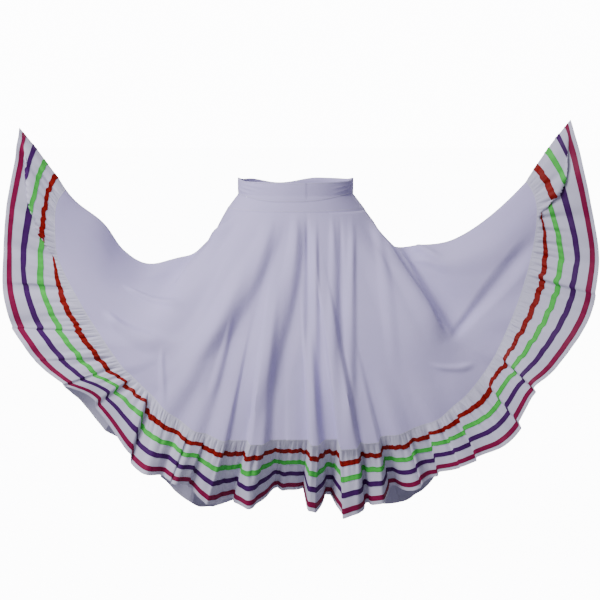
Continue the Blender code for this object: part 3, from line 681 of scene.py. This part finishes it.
def cloth_surface():
    """The whole cloth: turns of its columns, then the points and directions of the panel and the ruffle."""
    turns = np.concatenate([even_turns(0, 180, RUFFLE_COLUMNS_BACK),
                            even_turns(180, 360, RUFFLE_COLUMNS_FRONT)])
    rows = np.linspace(0, 1, PANEL_ROWS)
    panel = panel_grid(turns, rows)
    shares = np.array(RUFFLE_ROWS_MM) / 1000 / RUFFLE_DEPTH
    seam = station_curve("seam", turns)
    fall = station_curve("hem", turns) - seam
    frill = frill_grid(turns, panel[:, -1], seam, fall, shares)

    steps = np.linalg.norm(np.diff(panel[:, -1], axis=0, append=panel[:1, -1]), axis=1)
    length = np.concatenate([[0], np.cumsum(steps)[:-1]])
    depth = np.array(RUFFLE_ROWS_MM) / 1000
    down = unit(fall)[:, None] * drawn_length(length, depth)[:, :, None]
    frill = frill + normals_of(frill) * gather_height(length, depth)[:, :, None] + down
    up_seam = (1 - rows) * CUT_LENGTH
    pitch = column(GATHERS, GATHER_COLUMNS, "pitch")[0]
    pucker = PANEL_PUCKER * np.sin(2 * math.pi * length / pitch
                                   + WANDER * np.sin(length / (pitch * WANDER_LENGTHS)))
    fade = (1 - ease(up_seam / PANEL_PUCKER_REACH)) * ease(up_seam / PANEL_PUCKER_START)
    panel = panel + normals_of(panel) * (pucker[:, None] * fade[None, :])[:, :, None]
    panel_out = normals_of(panel)
    panel_out[:, 0] = waist_normal(turns)
    return turns, panel, panel_out, frill, normals_of(frill)


def put(name, data):
    """A new object in the scene."""
    made = bpy.data.objects.new(name, data)
    bpy.context.scene.collection.objects.link(made)
    return made


def shell(name, middle, out, thickness, material, uv, closed=False):
    """A thin closed wall round a grid of points, columns by rows, with one UV place for each point."""
    columns, rows = middle.shape[:2]
    wall = out * (np.broadcast_to(thickness, (rows,))[None, :, None] / 2)
    vertices = np.concatenate([(middle + wall).reshape(-1, 3), (middle - wall).reshape(-1, 3)])
    steps = columns if closed else columns - 1
    i = np.arange(steps)[:, None]
    j = (i + 1) % columns
    k = np.arange(rows - 1)[None, :]
    a = i * rows + k
    b = i * rows + k + 1
    c = j * rows + k + 1
    d = j * rows + k
    back = columns * rows
    face = np.stack([a, b, c, d], -1).reshape(-1, 4)
    faces = [face, back + face[:, ::-1]]
    top_i = i[:, 0] * rows
    top_j = j[:, 0] * rows
    faces.append(np.stack([top_i, top_j, back + top_j, back + top_i], -1))
    faces.append(np.stack([top_i, back + top_i, back + top_j, top_j], -1) + rows - 1)
    if not closed:
        first = np.arange(rows - 1)
        faces.append(np.stack([first, back + first, back + first + 1, first + 1], -1))
        last = first + (columns - 1) * rows
        faces.append(np.stack([last, last + 1, back + last + 1, back + last], -1))
    faces = np.concatenate(faces)
    mesh = bpy.data.meshes.new(name)
    mesh.from_pydata(vertices.tolist(), [], faces.tolist())
    mesh.materials.append(material)
    layer = mesh.uv_layers.new(name="cut")
    flat = np.concatenate([uv.reshape(-1, 2)] * 2)
    layer.data.foreach_set("uv", flat[faces.reshape(-1)].astype(np.float32).reshape(-1))
    mesh.shade_smooth()
    mesh.set_sharp_from_angle(angle=math.radians(SHARP_ANGLE))
    return put(name, mesh)


def add(tree, kind, settings=(), values=(), links=()):
    """Adds a node with its settings and socket values, and links sockets of other nodes to it."""
    made = tree.nodes.new(kind)
    for name, value in settings:
        setattr(made, name, value)
    for socket, value in values:
        made.inputs[socket].default_value = value
    for socket, source in links:
        tree.links.new(source, made.inputs[socket])
    return made


def new_material(name, roughness, sheen, specular):
    """A material with its Principled shader's fixed values set."""
    made = bpy.data.materials.new(name)
    made.use_nodes = True
    shader = made.node_tree.nodes["Principled BSDF"]
    for socket, value in (("Roughness", roughness), ("Metallic", 0.0), ("Sheen Weight", sheen),
                          ("Sheen Roughness", 0.4), ("Specular IOR Level", specular)):
        shader.inputs[socket].default_value = value
    return made, made.node_tree, shader


def cloudy(tree, cut, light, shade, patches):
    """A colour that drifts between a light and a dark one, with so many patches in a metre."""
    cloud = add(tree, "ShaderNodeTexNoise", (), [("Scale", patches), ("Detail", 3.0)], [("Vector", cut)])
    tone = add(tree, "ShaderNodeMix", [("data_type", "RGBA")],
               [(6, linear(shade)), (7, linear(light))], [(0, cloud.outputs["Fac"])])
    return tone.outputs[2]


def poplin(name, light, shade, patches):
    """Plain-woven cotton poplin: matte, fine even threads, faint slubs and soft uneven bleaching."""
    made, tree, shader = new_material(name, *POPLIN_GLOSS)
    cut = add(tree, "ShaderNodeTexCoord").outputs["UV"]
    warp, weft = [add(tree, "ShaderNodeTexWave", [("bands_direction", way)],
                      [("Scale", BAND_WAVE / THREADS_APART), ("Distortion", 0.6), ("Detail", 1.0)],
                      [("Vector", cut)]) for way in ("X", "Y")]
    weave = add(tree, "ShaderNodeMath", [("operation", "MULTIPLY")], (),
                [(0, warp.outputs["Fac"]), (1, weft.outputs["Fac"])])
    slub = add(tree, "ShaderNodeTexNoise", (), [("Scale", 220.0), ("Detail", 3.0)], [("Vector", cut)])
    height = add(tree, "ShaderNodeMath", [("operation", "ADD")], (),
                 [(0, weave.outputs[0]), (1, slub.outputs["Fac"])])
    rumple = add(tree, "ShaderNodeTexNoise", (), [("Scale", 26.0), ("Detail", 4.0)], [("Vector", cut)])
    fine = add(tree, "ShaderNodeBump", (), [("Strength", 0.25), ("Distance", 0.0004)],
               [("Height", height.outputs[0])])
    soft = add(tree, "ShaderNodeBump", (), [("Strength", 0.20), ("Distance", 0.004)],
               [("Height", rumple.outputs["Fac"]), ("Normal", fine.outputs["Normal"])])
    tree.links.new(soft.outputs["Normal"], shader.inputs["Normal"])
    grain = add(tree, "ShaderNodeMix", [("data_type", "RGBA"), ("blend_type", "MULTIPLY")],
                [(0, 0.08)], [(6, cloudy(tree, cut, light, shade, patches)), (7, weave.outputs[0])])
    tree.links.new(grain.outputs[2], shader.inputs["Base Color"])
    return made


def satin(name, light, shade):
    """Polyester satin ribbon: glossy along its length, with fine cross ribs and paler worn spots."""
    made, tree, shader = new_material(name, *SATIN_GLOSS)
    shader.inputs["Anisotropic"].default_value = 0.2
    cut = add(tree, "ShaderNodeTexCoord").outputs["UV"]
    rib = add(tree, "ShaderNodeTexWave", [("bands_direction", "X")],
              [("Scale", BAND_WAVE / RIBS_APART), ("Distortion", 0.8)], [("Vector", cut)])
    bump = add(tree, "ShaderNodeBump", (), [("Strength", 0.2), ("Distance", 0.0003)],
               [("Height", rib.outputs["Fac"])])
    tree.links.new(bump.outputs["Normal"], shader.inputs["Normal"])
    tree.links.new(cloudy(tree, cut, light, shade, SATIN_PATCHES), shader.inputs["Base Color"])
    return made


def studio_floor():
    """Pale matte floor, lit from below where it is seen, which throws little light on the cloth."""
    made, tree, shader = new_material("pale_studio_floor", *FLOOR_GLOSS)
    shader.inputs["Base Color"].default_value = linear(FLOOR_COLOUR)
    seen = add(tree, "ShaderNodeLightPath").outputs["Is Camera Ray"]
    glow = add(tree, "ShaderNodeMath", [("operation", "MULTIPLY")], [(1, FLOOR_GLOW)], [(0, seen)])
    light = add(tree, "ShaderNodeEmission", (), [("Color", linear(BACKDROP_COLOUR))],
                [("Strength", glow.outputs[0])])
    both = add(tree, "ShaderNodeAddShader", (), (), [(0, shader.outputs[0]), (1, light.outputs[0])])
    tree.links.new(both.outputs[0], tree.nodes["Material Output"].inputs[0])
    return made


def stitch_tree(material):
    """Geometry Nodes: one small thread on every point, laid along run and facing out."""
    tree = bpy.data.node_groups.new("stitch_row", "GeometryNodeTree")
    tree.interface.new_socket("Geometry", in_out="INPUT", socket_type="NodeSocketGeometry")
    for name, value in (("Length", STITCH_LENGTH), ("Width", STITCH_WIDTH)):
        socket = tree.interface.new_socket(name, in_out="INPUT", socket_type="NodeSocketFloat")
        socket.default_value = value
    tree.interface.new_socket("Geometry", in_out="OUTPUT", socket_type="NodeSocketGeometry")
    start = add(tree, "NodeGroupInput")
    size = add(tree, "ShaderNodeCombineXYZ", (), (),
               [("X", start.outputs["Length"]), ("Y", start.outputs["Width"]),
                ("Z", start.outputs["Width"])])
    thread = add(tree, "GeometryNodeMeshCube", (), (), [("Size", size.outputs[0])])
    run, out = [add(tree, "GeometryNodeInputNamedAttribute", [("data_type", "FLOAT_VECTOR")],
                    [("Name", name)]).outputs["Attribute"] for name in ("run", "out")]
    along = add(tree, "FunctionNodeAlignRotationToVector", [("axis", "X")], (),
                [("Vector", run)])
    facing = add(tree, "FunctionNodeAlignRotationToVector", [("axis", "Z"), ("pivot_axis", "X")], (),
                 [("Rotation", along.outputs[0]), ("Vector", out)])
    dots = add(tree, "GeometryNodeMeshToPoints", (), (), [("Mesh", start.outputs["Geometry"])])
    sewn = add(tree, "GeometryNodeInstanceOnPoints", (), (),
               [("Points", dots.outputs[0]), ("Instance", thread.outputs["Mesh"]),
                ("Rotation", facing.outputs[0])])
    real = add(tree, "GeometryNodeRealizeInstances", (), (), [("Geometry", sewn.outputs[0])])
    dyed = add(tree, "GeometryNodeSetMaterial", (), [("Material", material)],
               [("Geometry", real.outputs[0])])
    add(tree, "NodeGroupOutput", (), (), [("Geometry", dyed.outputs[0])])
    return tree


def stitches(name, rows, material):
    """Threads at an even pitch along rows of points with outward directions, as one mesh."""
    places = []
    runs = []
    outs = []
    for points, out in rows:
        steps = np.linalg.norm(np.diff(points, axis=0), axis=1)
        length = np.concatenate([[0], np.cumsum(steps)])
        at = np.arange(STITCH_PITCH / 2, length[-1], STITCH_PITCH)
        read, ahead, face = [
            np.stack([np.interp(spot, length, values[:, axis]) for axis in range(3)], -1)
            for spot, values in ((at, points), (at + STITCH_AHEAD, points), (at, out))]
        places.append(read)
        runs.append(unit(ahead - read))
        outs.append(unit(face))
    places = np.concatenate(places)
    mesh = bpy.data.meshes.new(name)
    mesh.from_pydata(places.tolist(), [], [])
    for attribute, values in (("run", np.concatenate(runs)), ("out", np.concatenate(outs))):
        layer = mesh.attributes.new(attribute, "FLOAT_VECTOR", "POINT")
        layer.data.foreach_set("vector", values.astype(np.float32).reshape(-1))
    made = put(name, mesh)
    modifier = made.modifiers.new("sewing", "NODES")
    modifier.node_group = stitch_tree(material)
    graph = bpy.context.evaluated_depsgraph_get()
    sewn = bpy.data.meshes.new_from_object(made.evaluated_get(graph), depsgraph=graph)
    made.modifiers.clear()
    made.data = sewn
    return made


def take_place(piece, node):
    """The piece stands for a node of the frame, rides on its body and hides the frame's part."""
    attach(piece, "root")
    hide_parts(node)


def edge_height(turns, height, table):
    """Height of an edge of the waistband that rises and dips from one height."""
    edge = np.full(len(turns), height)
    for side in named(table, RISE_COLUMNS):
        edge += side["rise"] * hump(turn_gap(turns, side["turn"]) / side["half_width"])
    return edge


def wrinkle_height(turns, heights):
    """How far the waistband's wrinkles stand out."""
    out = np.zeros(np.broadcast_shapes(turns.shape, heights.shape))
    scale = np.radians(1) * (WAIST_HALF_WIDTH + WAIST_HALF_DEPTH) / 2
    for wrinkle in named(WRINKLES, WRINKLE_COLUMNS):
        run_x = turn_gap(wrinkle["turn_b"], wrinkle["turn_a"]) * scale
        run_z = wrinkle["height_b"] - wrinkle["height_a"]
        x = turn_gap(turns, wrinkle["turn_a"]) * scale
        z = heights - wrinkle["height_a"]
        along = (x * run_x + z * run_z) / (run_x ** 2 + run_z ** 2)
        across = (x * run_z - z * run_x) / math.hypot(run_x, run_z)
        out += wrinkle["out"] * hump(2 * along - 1) * hump(across / wrinkle["half_width"])
    return out


def waist_grid(turns, heights):
    """Points of the waist's oval, outward directions and places in the flat cut: columns by rows."""
    points = waist_point(turns[:, None] + 0 * heights, heights)
    out = np.repeat(waist_normal(turns)[:, None], heights.shape[1], 1)
    around = turns[:, None] * math.radians(1) * WAIST_HALF_WIDTH + 0 * heights
    return points, out, np.stack([around, heights], -1)


def waist_pieces(cloth):
    """The doubled waistband with its lapped end, the under-band below it, and their rows of sewing."""
    turns = np.arange(BAND_COLUMNS) * 360 / BAND_COLUMNS
    foot = edge_height(turns, BAND_FOOT, FOOT_RISES)
    top = edge_height(turns, BAND_TOP, TOP_RISES)
    down = np.linspace(0, 1, BAND_ROWS)[None, :]
    heights = top[:, None] + (foot - top)[:, None] * down
    points, out, cut = waist_grid(turns, heights)
    lift = wrinkle_height(turns[:, None], heights)
    lapped = (turns > 180) & (points[:, 0, 0] < BAND_END_X)
    lift += BAND_END_STEP * lapped[:, None] * ease((1 - down) / BAND_END_RISE)
    crown = BAND * np.clip(1 - (2 * down[0] - 1) ** BAND_ROUNDING, BAND_EDGE, 1)
    points = points + out * lift[..., None]
    band = shell("waistband_cloth", points, out, crown, cloth, cut, closed=True)
    outside = points + out * (BAND / 2 + THREAD_LIFT - POPLIN)
    sewing = [(outside[:, row], out[:, row]) for row in BAND_STITCH_ROWS]

    down = np.linspace(0, 1, YOKE_ROWS)[None, :]
    heights = foot[:, None] - SEAM_GAP + (YOKE_FOOT - foot[:, None]) * down
    points, out, cut = waist_grid(turns, heights)
    yoke = shell("waist_yoke_cloth", points, out, YOKE, cloth, cut, closed=True)
    outside = points + out * (YOKE / 2 + THREAD_LIFT - POPLIN)
    sewing.append((outside[:, YOKE_STITCH_ROW], out[:, YOKE_STITCH_ROW]))
    return band, yoke, sewing


def panel_piece(side, turns, points, out, cloth):
    """One half of the panel, a half circle in the flat cut."""
    angle = np.radians(turns)[:, None]
    radius = CUT_WAIST_RADIUS + CUT_LENGTH * np.linspace(0, 1, PANEL_ROWS)[None, :]
    cut = np.stack([radius * np.cos(angle), radius * np.sin(angle)], -1)
    piece = shell("panel_" + side + "_cloth", points, out, POPLIN, cloth, cut)
    take_place(piece, "panel_" + side)


def ribbon_piece(side, colour, points, out, cloth, cut):
    """One ribbon on one half of the ruffle, with the rows of sewing along both its edges."""
    piece = shell("ribbon_" + colour + "_" + side + "_satin", points, out, RIBBON, cloth, cut)
    take_place(piece, "ribbon_" + colour + "_" + side)
    above = points + out * THREAD_LIFT
    return [(above[:, edge] + (above[:, inner] - above[:, edge]) * EDGE_STITCH_INSET, out[:, edge])
            for edge, inner in ((0, 1), (-1, -2))]


def ruffle_pieces(side, points, out, cloth, ribbon_cloth):
    """One half of the ruffle with its ribbons. Returns its own rows of sewing and each ribbon's."""
    depth = np.array(RUFFLE_ROWS_MM) / 1000
    columns = len(points)
    strip = np.arange(columns) * STRIP_LENGTH / (columns - 1)
    cut = np.stack(np.broadcast_arrays(strip[:, None], -depth[None, :]), -1)
    wall = np.where(depth > RUFFLE_DEPTH - HEM_TURN_UP, HEM_FOLD, POPLIN)
    piece = shell("ruffle_" + side + "_cloth", points, out, wall, cloth, cut)
    take_place(piece, "ruffle_" + side)

    ribbon_sewing = {}
    for number, colour in enumerate(RIBBONS):
        middle = (number + 1) * RIBBON_PITCH
        inside = np.abs(depth - middle) < RIBBON_WIDTH / 2 + ROW_MARGIN
        lift = (POPLIN + RIBBON) / 2 + RIBBON_LIFT
        above = points[:, inside] + out[:, inside] * lift
        ribbon_sewing[colour] = ribbon_piece(side, colour, above, out[:, inside], ribbon_cloth[colour],
                                             cut[:, inside])
    hem_row = int(np.searchsorted(depth, RUFFLE_DEPTH - HEM_TURN_UP))
    sewing = [(points[:, row] + out[:, row] * THREAD_LIFT, out[:, row]) for row in (SEAM_STITCH_ROW, hem_row)]
    return sewing, ribbon_sewing


def set_camera(scene):
    """The camera at the photo's angle."""
    camera = put("camera", bpy.data.cameras.new("camera"))
    camera.data.lens = CAMERA_LENS
    camera.data.sensor_width = CAMERA_FILM
    camera.location = CAMERA_AT
    camera.rotation_euler = (Vector(CAMERA_AIM) - Vector(CAMERA_AT)).to_track_quat("-Z", "Y").to_euler()
    scene.camera = camera


def dress():
    """Makes every piece of cloth, every ribbon and all the sewing."""
    panel_cloth = poplin(*PANEL_POPLIN)
    ruffle_cloth = poplin(*RUFFLE_POPLIN)
    thread = poplin(*SEWING_COTTON)
    ribbon_cloth = {colour: satin(*SATINS[colour]) for colour in RIBBONS}

    turns, panel, panel_out, frill, frill_out = cloth_surface()
    total = len(turns)
    sewing = []
    ribbon_sewing = {colour: [] for colour in RIBBONS}
    for side, start, stop in (("back", 0, RUFFLE_COLUMNS_BACK), ("front", RUFFLE_COLUMNS_BACK, total)):
        fine = np.arange(start, stop + 1) % total
        coarse = fine[::PANEL_STEP]
        panel_piece(side, turns[coarse], panel[coarse], panel_out[coarse], panel_cloth)
        rows, ribbon_rows = ruffle_pieces(side, frill[fine], frill_out[fine], ruffle_cloth, ribbon_cloth)
        sewing += rows
        for colour in RIBBONS:
            ribbon_sewing[colour] += ribbon_rows[colour]

    band, yoke, waist_sewing = waist_pieces(panel_cloth)
    take_place(band, "waistband")
    take_place(yoke, "waist_yoke")

    sewn = [("seam_and_hem", sewing, thread, "ruffle_poplin"), ("waist", waist_sewing, thread, "poplin")]
    for colour in RIBBONS:
        sewn.append((colour + "_ribbon", ribbon_sewing[colour], ribbon_cloth[colour], "satin_" + colour))
    for name, lines, material, slot in sewn:
        made = stitches(name + "_stitches", lines, material)
        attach(made, "root")


def put_lamp(name, kind, energy, way):
    """A lamp that shines back along a direction."""
    lamp = put(name, bpy.data.lights.new(name, kind))
    lamp.data.energy = energy
    lamp.rotation_euler = Vector(way).to_track_quat("Z", "Y").to_euler()
    return lamp


def studio(scene):
    """A plain pale floor and backdrop, and soft lamps from the upper left and from behind."""
    floor_mesh = bpy.data.meshes.new("floor")
    corners = [(x * FLOOR_REACH, y * FLOOR_REACH, FLOOR_Z) for x, y in ((-1, -1), (1, -1), (1, 1), (-1, 1))]
    floor_mesh.from_pydata(corners, [], [(0, 1, 2, 3)])
    floor_mesh.materials.append(studio_floor())
    put("floor", floor_mesh)

    world = bpy.data.worlds.new("studio")
    world.use_nodes = True
    tree = world.node_tree
    room = tree.nodes["Background"]
    room.inputs["Color"].default_value = linear(ROOM_COLOUR)
    room.inputs["Strength"].default_value = ROOM_LIGHT
    pale = add(tree, "ShaderNodeBackground", (),
               [("Color", linear(BACKDROP_COLOUR)), ("Strength", BACKDROP_LIGHT)])
    seen = add(tree, "ShaderNodeLightPath").outputs["Is Camera Ray"]
    mix = add(tree, "ShaderNodeMixShader", (), (),
              [(0, seen), (1, room.outputs[0]), (2, pale.outputs[0])])
    tree.links.new(mix.outputs[0], tree.nodes["World Output"].inputs[0])
    scene.world = world

    for name, way, energy in (("lamp", LAMP_FROM, LAMP_LIGHT),
                              ("back_lamp", BACK_LAMP_FROM, BACK_LAMP_LIGHT)):
        put_lamp(name, "SUN", energy, way).data.angle = math.radians(LAMP_ANGLE)
    near = put_lamp("panel_lamp", "AREA", PANEL_LAMP_LIGHT, Vector(PANEL_LAMP_AT) - Vector(CAMERA_AIM))
    near.data.size = PANEL_LAMP_SIZE
    near.location = PANEL_LAMP_AT


set_camera(bpy.context.scene)
dress()
studio(bpy.context.scene)
